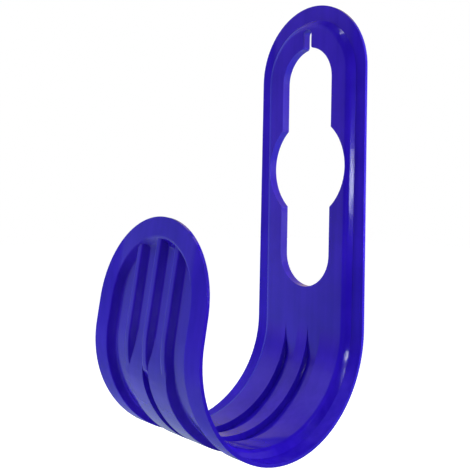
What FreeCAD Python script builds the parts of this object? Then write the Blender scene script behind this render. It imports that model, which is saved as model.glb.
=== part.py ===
import FreeCAD, Part
import math
import os

# Hose hanger: one moulded strip, a keyhole plate that turns through a saddle into a lip.
# Frame: origin at the round end of the upper slot, on the wall plane; +Z up, hose towards -Y.

# Driving sizes, millimetres and degrees
WALL = 1.8               # thickness of the moulded sheet
CROWN_RADIUS = 40.0      # half width of the plate at its rounded top
CROWN_Z = 3.25           # height of the centre of the rounded top
FOOT_HALF_WIDTH = 41.3   # half width where the plate starts to bend
LIP_RADIUS = 44.5        # half width of the lip and radius of its round end
BEND_Z = -141.3          # height at which the plate starts to bend
REAR_RADIUS = 57.9       # saddle radius next to the plate, on the hose side of the flange
REAR_ANGLE = 122.6       # angle turned with that radius
FRONT_RADIUS = 54.4      # saddle radius next to the lip
FRONT_ANGLE = 67.2       # angle turned with that radius
LIP_STRAIGHT = 12.3      # straight run of the lip before its round end

RAISE = 3.5              # height of the panel over the flange, towards the hose
PANEL_EDGE = 30.7        # half width of the panel's face
PANEL_RUN = 3.0          # sideways run of the sloped panel wall
SHOULDER_ROUND = 4.5     # rounding of the panel's shoulder, on the hose side
CROWN_MARGIN = 2.2       # how much wider the flange is above the panel than beside it
LIP_MARGIN = 1.6         # how much narrower the flange is at the lip's tip than beside it

KEY_RADIUS = 29.5        # round middle of the keyhole
KEY_Z = -50.3            # its height
SLOT_RADIUS = 19.0       # half width of the slots above and below it
SLIT_RADIUS = 3.0        # half width of the nail slit
SLIT_MOUTH = 1.5         # rounding of the corners where it opens into the slot
SLIT_TOP = 29.5          # top of the nail slit

TROUGH_NEAR = 4.0        # trough edges in the saddle, from the middle line
TROUGH_FAR = 13.7
TROUGH_DRAFT = 0.7       # sideways run of a trough's side
TIP_RADIUS = 20.0        # radius that eases a trough's floor into the saddle below the plate
LIP_TIP_RADIUS = 30.0    # the same at the lip
GROOVE_HALF_WIDTH = 2.6  # half width of the groove between the two ridges outside

RIB_PITCH = 15.5         # spacing of the three ribs on the lip
RIB_BASE = 5.0           # half width of a rib at its foot
RIB_CREST = 1.9          # half width of its crest before rounding
RIB_DROP = 0.8           # how far its crest lies under the flange
RIB_ROUND = 2.5          # rounding of foot and crest
RIB_FADE_FROM = 19.0     # the middle rib runs out between these angles, back from the lip
RIB_FADE_TO = 33.0

# Derived sizes
SLOPE = math.atan2(RAISE, PANEL_RUN)
PANEL_BACK = WALL - RAISE
CREST = WALL - RIB_DROP
RIDGE_FOOT = RIB_PITCH + RIB_BASE
RIDGE_EDGE = RIDGE_FOOT - (RIB_BASE - RIB_CREST) * RAISE / (RAISE - RIB_DROP)
REACH = 3.0 * LIP_RADIUS


def vec(x, y, z):
    return FreeCAD.Vector(x, y, z)


def outward(heading):
    """Direction away from the hose where the strip runs at this heading."""
    a = math.radians(heading)
    return vec(0, math.cos(a), -math.sin(a))


def onward(heading):
    """Direction in which the strip runs, downwards at heading 0."""
    a = math.radians(heading)
    return vec(0, -math.sin(a), -math.cos(a))


def stations():
    """Bend centres and the start of the lip, on the hose side of the flange."""
    rear = vec(0, -WALL - REAR_RADIUS, BEND_Z)
    turn = rear + outward(REAR_ANGLE) * REAR_RADIUS
    front = turn - outward(REAR_ANGLE) * FRONT_RADIUS
    lip = front + outward(REAR_ANGLE + FRONT_ANGLE) * FRONT_RADIUS
    return rear, front, lip


def rounded_face(points, radii):
    """Flat face through the points, each corner rounded by its own radius."""
    stops = []
    for i, p in enumerate(points):
        back = (points[i - 1] - p).normalize()
        ahead = (points[(i + 1) % len(points)] - p).normalize()
        half = back.getAngle(ahead) / 2
        run = radii[i] / math.tan(half)
        centre_gap = radii[i] / math.sin(half) - radii[i]
        stops.append((p + back * run, p + (back + ahead).normalize() * centre_gap, p + ahead * run))
    edges = []
    for i, (start, middle, end) in enumerate(stops):
        if radii[i] > 0:
            edges.append(Part.Arc(start, middle, end).toShape())
        edges.append(Part.makeLine(end, stops[(i + 1) % len(stops)][0]))
    return Part.Face(Part.Wire(edges))


def section(profile, origin, heading):
    """Face of a profile of (sideways, outward, radius) corners at a place on the strip."""
    n = outward(heading)
    points = [origin + vec(x, 0, 0) + n * out for x, out, _ in profile]
    return rounded_face(points, [r for _, _, r in profile])


def sheet_profile(half_width):
    """Half section of the sheet: raised panel, sloped wall and flange."""
    shift = WALL * math.tan(SLOPE / 2)
    return [(0, -RAISE, 0),
            (PANEL_EDGE, -RAISE, SHOULDER_ROUND),
            (PANEL_EDGE + PANEL_RUN, 0, 0),
            (half_width, 0, 0),
            (half_width, WALL, 0),
            (PANEL_EDGE + PANEL_RUN - shift, WALL, WALL),
            (PANEL_EDGE - shift, PANEL_BACK, SHOULDER_ROUND - WALL),
            (0, PANEL_BACK, 0)]


def hollow_profile():
    """Half section of the hollow behind the panel, reaching the middle of the sheet."""
    shift = WALL / 2 * math.tan(SLOPE / 2)
    return [(0, PANEL_BACK - WALL / 2, 0),
            (PANEL_EDGE - shift, PANEL_BACK - WALL / 2, 0),
            (PANEL_EDGE - shift + PANEL_RUN * (RAISE + WALL / 2) / RAISE, WALL, 0),
            (0, WALL, 0)]


def along_plate(profile):
    top = vec(0, -WALL, CROWN_Z - CROWN_MARGIN)
    return section(profile, top, 0).extrude(vec(0, 0, BEND_Z - top.z))


def crown_cap(profile):
    top = vec(0, -WALL, CROWN_Z - CROWN_MARGIN)
    return section(profile, top, 0).revolve(top, vec(0, -1, 0), 90)


def rear_bend(profile):
    rear, _, _ = stations()
    start = rear + outward(0) * REAR_RADIUS
    return section(profile, start, 0).revolve(rear, vec(-1, 0, 0), REAR_ANGLE)


def front_bend(profile, angle=FRONT_ANGLE):
    """The last part of the front bend, ending at the lip."""
    _, front, _ = stations()
    first = REAR_ANGLE + FRONT_ANGLE - angle
    start = front + outward(first) * FRONT_RADIUS
    return section(profile, start, first).revolve(front, vec(-1, 0, 0), angle)


def along_lip(profile, length=LIP_STRAIGHT + LIP_MARGIN):
    _, _, lip = stations()
    heading = REAR_ANGLE + FRONT_ANGLE
    return section(profile, lip, heading).extrude(onward(heading) * length)


def lip_cap(profile):
    _, _, lip = stations()
    heading = REAR_ANGLE + FRONT_ANGLE
    centre = lip + onward(heading) * (LIP_STRAIGHT + LIP_MARGIN)
    return section(profile, centre, heading).revolve(centre, outward(heading), 90)


def mirrored(shape):
    return shape.fuse(shape.mirror(vec(0, 0, 0), vec(1, 0, 0)))


def plate_limits():
    """Outline of the plate seen from the front: a round top and tapered sides."""
    outline = [vec(-REACH, -REACH, CROWN_Z), vec(CROWN_RADIUS, -REACH, CROWN_Z),
               vec(FOOT_HALF_WIDTH, -REACH, BEND_Z), vec(-REACH, -REACH, BEND_Z)]
    sides = rounded_face(outline, [0] * 4).extrude(vec(0, 2 * REACH, 0))
    top = Part.makeCylinder(CROWN_RADIUS, 2 * REACH, vec(0, -REACH, CROWN_Z), vec(0, 1, 0))
    return sides.fuse(top)


def bend_limits():
    """Tapered outline of the saddle, seen from above."""
    _, _, lip = stations()
    outline = [vec(-REACH, REACH, -REACH), vec(FOOT_HALF_WIDTH, REACH, -REACH),
               vec(FOOT_HALF_WIDTH, -WALL, -REACH), vec(LIP_RADIUS, lip.y, -REACH),
               vec(LIP_RADIUS, -2 * REACH, -REACH), vec(-REACH, -2 * REACH, -REACH)]
    low = [p + vec(0, 0, -REACH) for p in outline]
    return rounded_face(low, [0] * 6).extrude(vec(0, 0, 2 * REACH))


def lip_limits():
    """Outline of the lip seen square on: straight sides and a round end."""
    _, _, lip = stations()
    heading = REAR_ANGLE + FRONT_ANGLE
    axis = outward(heading)
    low = lip + onward(heading) * LIP_STRAIGHT - axis * REACH
    side = vec(REACH, 0, 0)
    back = onward(heading) * -REACH
    straight = rounded_face([low - side, low + side, low + side + back, low - side + back], [0] * 4)
    return straight.extrude(axis * 2 * REACH).fuse(Part.makeCylinder(LIP_RADIUS, 2 * REACH, low, axis))


def strip():
    """The plain folded sheet, from the rounded top to the round end of the lip."""
    wide = sheet_profile(LIP_RADIUS)
    saddle = rear_bend(wide).fuse(front_bend(wide)).common(bend_limits())
    plate = crown_cap(wide).fuse(along_plate(wide)).common(plate_limits())
    lip = along_lip(wide).fuse(lip_cap(wide)).common(lip_limits())
    return mirrored(plate.fuse([saddle, lip]))


def tip_arc(centre, radius, heading, sense, ease):
    """Angle and three points of the arc that eases a straight run into a bend."""
    turn = math.degrees(math.acos((radius - RAISE - ease) / (radius - ease)))
    middle = centre + outward(heading + sense * turn) * (radius - ease)
    return turn, [middle + outward(heading + sense * turn * share) * ease for share in (0, 0.5, 1)]


def saddle_plan(floor):
    """Side view of the room over this outward level, between the faces of plate and lip."""
    rear, front, _ = stations()
    end = REAR_ANGLE + FRONT_ANGLE
    first, rising = tip_arc(rear, REAR_RADIUS + floor, 0, 1, TIP_RADIUS + floor)
    last, falling = tip_arc(front, FRONT_RADIUS + floor, end, -1, LIP_TIP_RADIUS + floor)
    low_rear = rear + outward((first + REAR_ANGLE) / 2) * (REAR_RADIUS + floor)
    low_front = front + outward((REAR_ANGLE + end - last) / 2) * (FRONT_RADIUS + floor)
    turn = rear + outward(REAR_ANGLE) * (REAR_RADIUS + floor)
    above_rear = vec(0, rising[0].y, rear.z + RAISE)
    above_front = front + outward(end) * (FRONT_RADIUS + floor - RAISE) + onward(end) * RAISE
    edges = [Part.makeLine(above_rear, rising[0]), Part.Arc(*rising).toShape(),
             Part.Arc(rising[2], low_rear, turn).toShape(), Part.Arc(turn, low_front, falling[2]).toShape(),
             Part.Arc(*falling[::-1]).toShape(), Part.makeLine(falling[0], above_front),
             Part.makeLine(above_front, above_rear)]
    face = Part.Face(Part.Wire(edges))
    face.translate(vec(-REACH, 0, 0))
    return face.extrude(vec(2 * REACH, 0, 0))


def ridges():
    """The two ridges under the saddle; they rise out of the planes of plate and lip."""
    profile = [(GROOVE_HALF_WIDTH - TROUGH_DRAFT, PANEL_BACK - WALL / 2, 0),
               (GROOVE_HALF_WIDTH, WALL, 0),
               (RIDGE_EDGE, WALL, RIB_ROUND),
               (RIDGE_FOOT, PANEL_BACK, RIB_ROUND),
               (RIDGE_FOOT + RIB_BASE, PANEL_BACK, 0),
               (RIDGE_FOOT + RIB_BASE, PANEL_BACK - WALL / 2, 0)]
    bent = rear_bend(profile).fuse(front_bend(profile))
    return mirrored(bent.common(saddle_plan(WALL)))


def troughs():
    """The two troughs in the saddle's hose side, over the ridges."""
    over, under = -RAISE - WALL, WALL / 2
    lean = TROUGH_DRAFT / RAISE
    profile = [(TROUGH_NEAR + lean * (over + RAISE), over, 0),
               (TROUGH_NEAR + lean * (under + RAISE), under, 0),
               (TROUGH_FAR - lean * (under + RAISE), under, 0),
               (TROUGH_FAR - lean * (over + RAISE), over, 0)]
    bent = rear_bend(profile).fuse(front_bend(profile))
    return mirrored(bent.common(saddle_plan(0)))


def rib_profile(middle):
    return [(middle - 2 * RIB_BASE, PANEL_BACK - WALL / 2, 0),
            (middle - 2 * RIB_BASE, PANEL_BACK, 0),
            (middle - RIB_BASE, PANEL_BACK, RIB_ROUND),
            (middle - RIB_CREST, CREST, RIB_ROUND),
            (middle + RIB_CREST, CREST, RIB_ROUND),
            (middle + RIB_BASE, PANEL_BACK, RIB_ROUND),
            (middle + 2 * RIB_BASE, PANEL_BACK, 0),
            (middle + 2 * RIB_BASE, PANEL_BACK - WALL / 2, 0)]


def lip_hollow():
    hollow = hollow_profile()
    return mirrored(front_bend(hollow).fuse([along_lip(hollow), lip_cap(hollow)]))


def fade_limits():
    """Prism that keeps the middle rib above its sloping run-out."""
    _, front, _ = stations()
    heading = REAR_ANGLE + FRONT_ANGLE
    low = front + outward(heading - RIB_FADE_TO) * (FRONT_RADIUS + PANEL_BACK)
    high = front + outward(heading - RIB_FADE_FROM) * (FRONT_RADIUS + CREST)
    ends = [low * 2 - high, high * 2 - low]
    far = onward(heading) * REACH
    outline = [p + vec(-REACH, 0, 0) for p in (ends[0], ends[1], ends[1] + far, ends[0] + far)]
    return rounded_face(outline, [0] * 4).extrude(vec(2 * REACH, 0, 0))


def ribs():
    """Three ribs on the outside of the lip, running up to its end wall."""
    length = LIP_STRAIGHT + LIP_RADIUS
    side = rib_profile(RIB_PITCH)
    middle = rib_profile(0)
    outer = mirrored(along_lip(side, length).fuse(front_bend(side)))
    inner = along_lip(middle, length).fuse(front_bend(middle, 2 * RIB_FADE_TO))
    return outer.fuse(inner.common(fade_limits())).common(lip_hollow())


def keyhole(grow, depth):
    """Keyhole with its nail slit, grown outwards, from the rear plane forwards."""
    def drum(radius, z):
        return Part.makeCylinder(radius + grow, depth, vec(0, 0, z), vec(0, -1, 0))

    def bar(radius, z_low, z_high):
        return Part.makeBox(2 * (radius + grow), depth, z_high - z_low,
                            vec(-radius - grow, -depth, z_low))
    slot_low = 2 * KEY_Z
    slit_z = SLIT_TOP - SLIT_RADIUS
    hole = drum(KEY_RADIUS, KEY_Z).fuse(
        [drum(SLOT_RADIUS, 0), drum(SLOT_RADIUS, slot_low), bar(SLOT_RADIUS, slot_low, 0),
         drum(SLIT_RADIUS, slit_z), bar(SLIT_RADIUS, 0, slit_z)]).removeSplitter()
    mouth = [e for e in hole.Edges if 0 < e.BoundBox.ZMin and e.BoundBox.ZLength < SLIT_MOUTH
             and e.BoundBox.ZMax < slit_z and abs(e.BoundBox.YLength - depth) < WALL]
    return hole.makeFillet(SLIT_MOUTH, mouth)


def collar():
    """Wall round the keyhole, from the panel back to the wall plane."""
    hollow = hollow_profile()
    room = mirrored(crown_cap(hollow).fuse(along_plate(hollow)))
    return keyhole(WALL, WALL + RAISE).common(room)


def hose_hanger():
    body = strip().fuse([ridges(), ribs(), collar()])
    body = body.cut(troughs()).cut(keyhole(0, 2 * (WALL + RAISE)))
    return body.removeSplitter()


os.makedirs("parts", exist_ok=True)
hose_hanger().Solids[0].exportStep("parts/hose_hanger.step")
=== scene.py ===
"""Dresses the hose hanger in its glossy blue plastic and sets it in a plain white studio."""

import math
from typing import NamedTuple

import bpy
from bpy.props import FloatProperty, FloatVectorProperty, PointerProperty
from mathutils import Matrix, Quaternion, Vector


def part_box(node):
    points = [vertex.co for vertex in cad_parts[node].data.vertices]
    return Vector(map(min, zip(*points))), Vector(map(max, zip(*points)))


bl_info = {
    "name": "Hose hanger studio",
    "version": (1, 0, 0),
    "blender": (4, 5, 0),
    "location": "View3D > Sidebar > Hanger",
    "description": "Finishes the moulded hose hanger and lights it for a catalogue picture",
    "category": "Object",
}

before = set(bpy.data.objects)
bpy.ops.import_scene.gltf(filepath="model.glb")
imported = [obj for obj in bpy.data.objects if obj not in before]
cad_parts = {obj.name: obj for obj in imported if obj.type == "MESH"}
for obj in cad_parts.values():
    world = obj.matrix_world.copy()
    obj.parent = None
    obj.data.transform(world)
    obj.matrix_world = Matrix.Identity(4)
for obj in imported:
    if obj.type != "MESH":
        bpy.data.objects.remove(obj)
LOW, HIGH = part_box("hose_hanger")
MIDDLE = (LOW + HIGH) / 2

MM = 0.001
WHITE = (1, 1, 1, 1)

# The moulding's edges.
WELD_REACH = 0.002 * MM         # corners closer together than this are one corner
EDGE_STEPS = 3                  # facets across a rounded edge
EDGE_ANGLE = 32                 # edges that turn by more degrees than this are rounded
LARGE_FACE_WEIGHT = 90          # how far large faces set the shading next to them

# The skin's patterns, as features per metre. The streaks are drawn out along the height.
CLOUDS = 28.0
STREAKS = (260.0, 260.0, 9.0)
RIPPLE = 180.0
SPECKS = 1400.0
SKIN_DEPTH = 0.25 * MM
SKIN_STRENGTH = 0.18

# How the plastic mirrors, and the second gloss layer on the panel, whose weight fades out
# between two distances from the middle line.
PLASTIC_IOR = 1.5
PLASTIC_GLEAM = 0.3
LAYER_IOR = 1.6
LAYER_ROUGHNESS = 0.15
LAYER_INNER = 27.5 * MM
LAYER_OUTER = 32.5 * MM

# The camera stands to the right of the plate, level with the object's middle, and looks a little
# down. Its place is in metres, its angles in degrees, its lens and sensor in millimetres.
CAMERA_PLACE = Vector((0.28779, -0.31161, -0.07359))
CAMERA_TURN = 48.734
CAMERA_PITCH = -2.249
CAMERA_ROLL = 0.761
CAMERA_LENS = 54.8
CAMERA_SENSOR = 36.0
CAMERA_NEAREST = 0.01

FLOOR_HALF = 6.0                # metres from the floor's middle to its edges
FLOOR_COLOUR = (0.82, 0.82, 0.82, 1)
FLOOR_GLOW = 0.9                # what the camera sees on top of the floor's own shade

# The dim room that reflections see: its brightness, and its tint above and below.
ROOM_GLEAM = 1.45
ROOM_WARM = (0.97, 0.72, 0.66, 1)
ROOM_COOL = (0.64, 0.76, 1.0, 1)


class Lamp(NamedTuple):
    """A rectangular lamp: its sizes in metres, its share of a power, its tilt in degrees."""
    name: str
    place: Vector
    aim: Vector
    size: tuple
    share: float
    tilt: float = 0.0


# These light the plastic and are not mirrored in it. Their shares are of the key light's power.
SOFT_LIGHTS = (
    Lamp("key", place=MIDDLE + Vector((-0.75, -0.47, 0.80)), aim=MIDDLE,
         size=(0.8, 0.8), share=1.0),
    Lamp("low fill", place=MIDDLE + Vector((-0.25, -0.20, -0.36)),
         aim=MIDDLE + Vector((0, 0, -0.1)), size=(0.3, 0.3), share=0.15),
    Lamp("edge strip", place=Vector((0.14, -0.005, -0.06)), aim=Vector((0.03, 0, -0.06)),
         size=(0.02, 0.2), share=0.010),
    Lamp("rear fill", place=Vector((0.35, 0.30, -0.03)), aim=Vector((0, 0, -0.03)),
         size=(0.2, 0.2), share=0.22),
    Lamp("top fill", place=Vector((0.18, -0.16, 0.95)), aim=MIDDLE,
         size=(0.5, 0.5), share=0.24),
    Lamp("side fill", place=Vector((0.14, -0.42, -0.12)), aim=Vector((0, -0.1, -0.1)),
         size=(0.12, 0.12), share=0.012),
)

# Mirrored in the plastic, these are the streaks on the panel's right wall, high up and by the
# saddle, and the small highlight at the panel's top.
STREAK_LAMPS = (
    Lamp("low lamp", place=Vector((0.88, -0.53, -0.02)), aim=MIDDLE,
         size=(0.012, 0.09), share=0.36),
    Lamp("high lamp", place=Vector((0.88, -0.395, 0.15)), aim=MIDDLE,
         size=(0.010, 0.15), share=0.36, tilt=-32),
    Lamp("top lamp", place=Vector((0.13, -0.15, 1.0)), aim=MIDDLE,
         size=(0.012, 0.14), share=0.08),
)


# Settings

class FinishSettings(bpy.types.PropertyGroup):
    plastic: FloatVectorProperty(
        name="Plastic", description="Colour of the moulded plastic",
        subtype="COLOR", size=3, min=0, max=1, default=(0.013, 0.003, 0.34))
    pale_plastic: FloatVectorProperty(
        name="Pale plastic", description="Colour where the pigment runs a little thin",
        subtype="COLOR", size=3, min=0, max=1, default=(0.026, 0.008, 0.46))
    sheen: FloatProperty(
        name="Sheen", description="Second gloss layer on the panel, which the flange lacks",
        min=0, max=1, default=1.0, subtype="FACTOR")
    gloss: FloatProperty(
        name="Roughness", description="Roughness of the moulded skin",
        min=0, max=1, default=0.11, subtype="FACTOR")
    edge_round: FloatProperty(
        name="Edge rounding", description="Radius on the moulding's sharp edges",
        min=0, max=2 * MM, default=0.35 * MM, unit="LENGTH")


class StageSettings(bpy.types.PropertyGroup):
    drop: FloatProperty(
        name="Drop", description="Height of the hanging object over the floor",
        min=0, default=0.25, unit="LENGTH")
    key_power: FloatProperty(
        name="Key light",
        description="Power of the large soft light at the upper left, which the fills follow",
        min=0, default=12.4, unit="POWER")
    fill: FloatProperty(
        name="Fill", description="Strength of the even light from all round",
        min=0, default=0.16)
    lamp_power: FloatProperty(
        name="Lamps", description="Power of which each lamp mirrored in the plastic has a share",
        min=0, default=1.0, unit="POWER")


# Shader maths

class Wire:
    """A shader socket that takes part in Python expressions."""

    def __init__(self, tree, socket):
        self.tree = tree
        self.socket = socket

    def maths(self, operation, first, second):
        node = self.tree.add("ShaderNodeMath", {"operation": operation}, {0: first, 1: second})
        return node.out("Value")

    def __add__(self, other):
        return self.maths("ADD", self, other)

    __radd__ = __add__

    def __mul__(self, other):
        return self.maths("MULTIPLY", self, other)

    __rmul__ = __mul__

    def __sub__(self, other):
        return self.maths("SUBTRACT", self, other)

    def __rsub__(self, other):
        return self.maths("SUBTRACT", other, self)


class Built:
    """A node that has been added, giving its outputs as wires."""

    def __init__(self, tree, node):
        self.tree = tree
        self.node = node

    def out(self, name):
        return Wire(self.tree, self.node.outputs[name])


class Tree:
    """A material's or the world's node tree, emptied and ready to be written."""

    def __init__(self, owner):
        owner.use_nodes = True
        self.nodes = owner.node_tree.nodes
        self.links = owner.node_tree.links
        self.nodes.clear()

    def add(self, kind, settings=None, sockets=None):
        """Add a node of this kind, make its settings, then fill or link its sockets."""
        node = self.nodes.new(kind)
        for name, value in (settings or {}).items():
            setattr(node, name, value)
        for name, value in (sockets or {}).items():
            if isinstance(value, Wire):
                self.links.new(value.socket, node.inputs[name])
            else:
                node.inputs[name].default_value = value
        return Built(self, node)


def noise(tree, place, scale, detail):
    """A cloudy pattern around 0.5."""
    return tree.add("ShaderNodeTexNoise", {"noise_dimensions": "3D"},
                    {"Vector": place, "Scale": scale, "Detail": detail}).out("Fac")


def smooth_step(tree, value, start, end, first=0.0, last=1.0):
    """Run smoothly from first to last while the value runs from start to end."""
    return tree.add("ShaderNodeMapRange", {"interpolation_type": "SMOOTHSTEP"},
                    {"Value": value, "From Min": start, "From Max": end,
                     "To Min": first, "To Max": last}).out("Result")


def mix(tree, kind, factor, first, second):
    """The first where the factor is 0 and the second where it is 1; kind is FLOAT or RGBA."""
    return tree.add("ShaderNodeMix", {"data_type": kind},
                    {"Factor": factor, "A": first, "B": second}).out("Result")


# The moulded plastic

def moulded_plastic(settings):
    """Glossy blue plastic with the faint streaks and ripple that the mould leaves."""
    material = bpy.data.materials.new("blue_plastic")
    tree = Tree(material)
    place = tree.add("ShaderNodeTexCoord").out("Object")
    drawn_out = tree.add("ShaderNodeMapping", None,
                         {"Vector": place, "Scale": STREAKS}).out("Vector")
    clouds = noise(tree, place, CLOUDS, detail=3.0)
    streaks = noise(tree, drawn_out, scale=1.0, detail=4.0)
    specks = noise(tree, place, SPECKS, detail=2.0)
    ripple = noise(tree, place, RIPPLE, detail=2.0)

    # Clouds and streaks thin the pigment and make the skin a little glossier or duller.
    paleness = tree.add("ShaderNodeMapRange", None,
                        {"Value": clouds * 0.65 + streaks * 0.35,
                         "From Min": 0.35, "From Max": 0.65}).out("Result")
    colour = mix(tree, "RGBA", paleness, (*settings.plastic, 1), (*settings.pale_plastic, 1))
    roughness = settings.gloss + (streaks - 0.5) * 0.10 + (clouds - 0.5) * 0.08
    height = ripple * 0.7 + specks * 0.12 + streaks * 0.5
    skin = tree.add("ShaderNodeBump", None,
                    {"Height": height, "Strength": SKIN_STRENGTH,
                     "Distance": SKIN_DEPTH}).out("Normal")

    # The distance from the middle line is squared, so that both sides of the panel are alike.
    across = tree.add("ShaderNodeSeparateXYZ", None, {"Vector": place}).out("X")
    panel = smooth_step(tree, across * across, LAYER_INNER ** 2, LAYER_OUTER ** 2, 1.0, 0.0)
    shader = tree.add("ShaderNodeBsdfPrincipled", None,
                      {"Base Color": colour, "Roughness": roughness, "Normal": skin,
                       "IOR": PLASTIC_IOR, "Specular IOR Level": PLASTIC_GLEAM,
                       "Coat Weight": panel * settings.sheen, "Coat IOR": LAYER_IOR,
                       "Coat Roughness": LAYER_ROUGHNESS}).out("BSDF")
    tree.add("ShaderNodeOutputMaterial", None, {"Surface": shader})
    return material


class HANGER_OT_finish_moulding(bpy.types.Operator):
    """Round the moulding's edges a little and give it its plastic"""
    bl_idname = "hanger.finish_moulding"
    bl_label = "Finish the moulding"

    def execute(self, context):
        settings = context.scene.hanger_finish
        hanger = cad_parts["hose_hanger"]
        hanger.data.materials.clear()
        hanger.data.materials.append(moulded_plastic(settings))
        for face in hanger.data.polygons:
            face.use_smooth = True
        weld = hanger.modifiers.new("joined corners", "WELD")
        weld.merge_threshold = WELD_REACH
        rounding = hanger.modifiers.new("moulded edges", "BEVEL")
        rounding.width = settings.edge_round
        rounding.segments = EDGE_STEPS
        rounding.limit_method = "ANGLE"
        rounding.angle_limit = math.radians(EDGE_ANGLE)
        evening = hanger.modifiers.new("flat faces stay flat", "WEIGHTED_NORMAL")
        evening.weight = LARGE_FACE_WEIGHT
        evening.keep_sharp = True
        return {"FINISHED"}


# Stage

def camera_turn():
    """Rotation of the camera from its turn, pitch and roll."""
    turn, pitch, roll = map(math.radians, (CAMERA_TURN, CAMERA_PITCH, CAMERA_ROLL))
    ahead = Vector((-math.sin(turn) * math.cos(pitch),
                    math.cos(turn) * math.cos(pitch),
                    math.sin(pitch)))
    right = Vector((math.cos(turn), math.sin(turn), 0))
    up = right.cross(ahead)
    across = right * math.cos(roll) + up * math.sin(roll)
    upright = up * math.cos(roll) - right * math.sin(roll)
    return Matrix((across, upright, -ahead)).transposed()


def place_camera(scene):
    camera = bpy.data.objects.new("camera", bpy.data.cameras.new("camera"))
    camera.data.sensor_width = CAMERA_SENSOR
    camera.data.lens = CAMERA_LENS
    camera.data.clip_start = CAMERA_NEAREST
    camera.matrix_world = Matrix.Translation(CAMERA_PLACE) @ camera_turn().to_4x4()
    scene.collection.objects.link(camera)
    scene.camera = camera


def hang_lamp(scene, lamp, power):
    """Add the lamp so that it faces its aim, turned about that line by its tilt."""
    bulb = bpy.data.lights.new(lamp.name, "AREA")
    bulb.shape = "RECTANGLE"
    bulb.size, bulb.size_y = lamp.size
    bulb.energy = power * lamp.share
    light = bpy.data.objects.new(lamp.name, bulb)
    light.location = lamp.place
    facing = (lamp.aim - lamp.place).to_track_quat("-Z", "Y")
    tilt = Quaternion((0, 0, 1), math.radians(lamp.tilt))
    light.rotation_euler = (facing @ tilt).to_euler()
    scene.collection.objects.link(light)
    return light


def pale_floor(scene, drop):
    """A plain floor below the hanging object, which cameras see as white as the backdrop."""
    height = LOW.z - drop
    corners = [(x * FLOOR_HALF, y * FLOOR_HALF, height)
               for x, y in ((-1, -1), (1, -1), (1, 1), (-1, 1))]
    mesh = bpy.data.meshes.new("floor")
    mesh.from_pydata(corners, [], [(0, 1, 2, 3)])
    floor = bpy.data.objects.new("floor", mesh)
    scene.collection.objects.link(floor)
    material = bpy.data.materials.new("pale_floor")
    tree = Tree(material)
    matt = tree.add("ShaderNodeBsdfDiffuse", None, {"Color": FLOOR_COLOUR}).out("BSDF")
    glow = tree.add("ShaderNodeEmission", None,
                    {"Color": WHITE, "Strength": FLOOR_GLOW}).out("Emission")
    both = tree.add("ShaderNodeAddShader", None, {0: matt, 1: glow}).out("Shader")
    seen = tree.add("ShaderNodeLightPath").out("Is Camera Ray")
    mixed = tree.add("ShaderNodeMixShader", None, {"Fac": seen, 1: matt, 2: both}).out("Shader")
    tree.add("ShaderNodeOutputMaterial", None, {"Surface": mixed})
    mesh.materials.append(material)
    floor.visible_glossy = False


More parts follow.
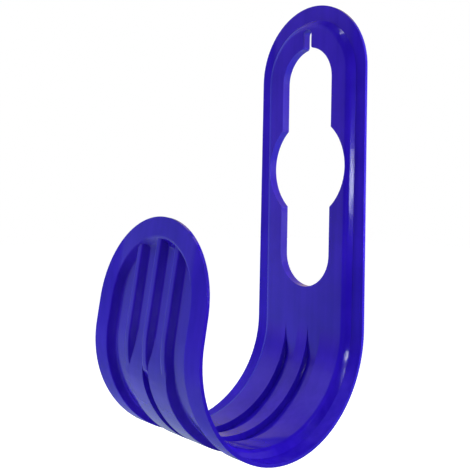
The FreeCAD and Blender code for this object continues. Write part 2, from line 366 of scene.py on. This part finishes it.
def white_backdrop(scene, fill):
    """White to the camera, and a faint even fill to the plastic's own colour.

    Its gloss sees a dim room instead, which is pale at the left, more so lower down, and behind
    the plate, and which is tinted warm at the right and above and cool at the left and below.
    """
    world = bpy.data.worlds.new("backdrop")
    scene.world = world
    tree = Tree(world)
    direction = tree.add("ShaderNodeTexCoord").out("Generated")
    parts = tree.add("ShaderNodeSeparateXYZ", None, {"Vector": direction})
    x, y, z = parts.out("X"), parts.out("Y"), parts.out("Z")

    # Each step says between which directions it runs, from -1 to 1 along an axis, and how
    # bright the room is at its start and its end.
    left = smooth_step(tree, x, -0.35, -0.85)
    level = smooth_step(tree, z, 0.26, -0.16, 0.13, 0.31)
    below = smooth_step(tree, z, -0.25, -0.60, 0.0, 0.03)
    above = smooth_step(tree, z, 0.16, 0.50, 0.0, 0.13)
    behind = smooth_step(tree, y, 0.60, 0.78, 0.01, 0.36)
    room = (left * (level + below + above) + behind) * ROOM_GLEAM

    low_cool = smooth_step(tree, z, 0.10, -0.30)
    left_cool = smooth_step(tree, x, -0.70, -0.80)
    tint = mix(tree, "RGBA", low_cool + left_cool, ROOM_WARM, ROOM_COOL)

    ray = tree.add("ShaderNodeLightPath")
    glossy, camera = ray.out("Is Glossy Ray"), ray.out("Is Camera Ray")
    colour = mix(tree, "RGBA", glossy, WHITE, tint)
    strength = mix(tree, "FLOAT", camera, mix(tree, "FLOAT", glossy, fill, room), 1.0)
    light = tree.add("ShaderNodeBackground", None,
                     {"Color": colour, "Strength": strength}).out("Background")
    tree.add("ShaderNodeOutputWorld", None, {"Surface": light})


class HANGER_OT_set_stage(bpy.types.Operator):
    """Set the floor, backdrop, lights and camera"""
    bl_idname = "hanger.set_stage"
    bl_label = "Set the stage"

    def execute(self, context):
        scene = context.scene
        settings = scene.hanger_stage
        scene.view_settings.view_transform = "Standard"
        pale_floor(scene, settings.drop)
        white_backdrop(scene, settings.fill)
        for lamp in SOFT_LIGHTS:
            light = hang_lamp(scene, lamp, settings.key_power)
            light.visible_glossy = False
            light.visible_camera = False
        for lamp in STREAK_LAMPS:
            hang_lamp(scene, lamp, settings.lamp_power)
        place_camera(scene)
        return {"FINISHED"}


# Panel and registration

class HANGER_PT_studio(bpy.types.Panel):
    bl_idname = "HANGER_PT_studio"
    bl_label = "Hose hanger"
    bl_space_type = "VIEW_3D"
    bl_region_type = "UI"
    bl_category = "Hanger"

    def draw(self, context):
        layout = self.layout
        finish = context.scene.hanger_finish
        for name in ("plastic", "pale_plastic", "sheen", "gloss", "edge_round"):
            layout.prop(finish, name)
        layout.operator(HANGER_OT_finish_moulding.bl_idname)
        stage = context.scene.hanger_stage
        for name in ("drop", "key_power", "fill", "lamp_power"):
            layout.prop(stage, name)
        layout.operator(HANGER_OT_set_stage.bl_idname)


CLASSES = (
    FinishSettings,
    StageSettings,
    HANGER_OT_finish_moulding,
    HANGER_OT_set_stage,
    HANGER_PT_studio,
)


def register():
    for item in CLASSES:
        bpy.utils.register_class(item)
    bpy.types.Scene.hanger_finish = PointerProperty(type=FinishSettings)
    bpy.types.Scene.hanger_stage = PointerProperty(type=StageSettings)


def unregister():
    del bpy.types.Scene.hanger_stage
    del bpy.types.Scene.hanger_finish
    for item in reversed(CLASSES):
        bpy.utils.unregister_class(item)


def main():
    register()
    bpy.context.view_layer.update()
    bpy.ops.hanger.finish_moulding()
    bpy.ops.hanger.set_stage()


if __name__ == "__main__":
    main()
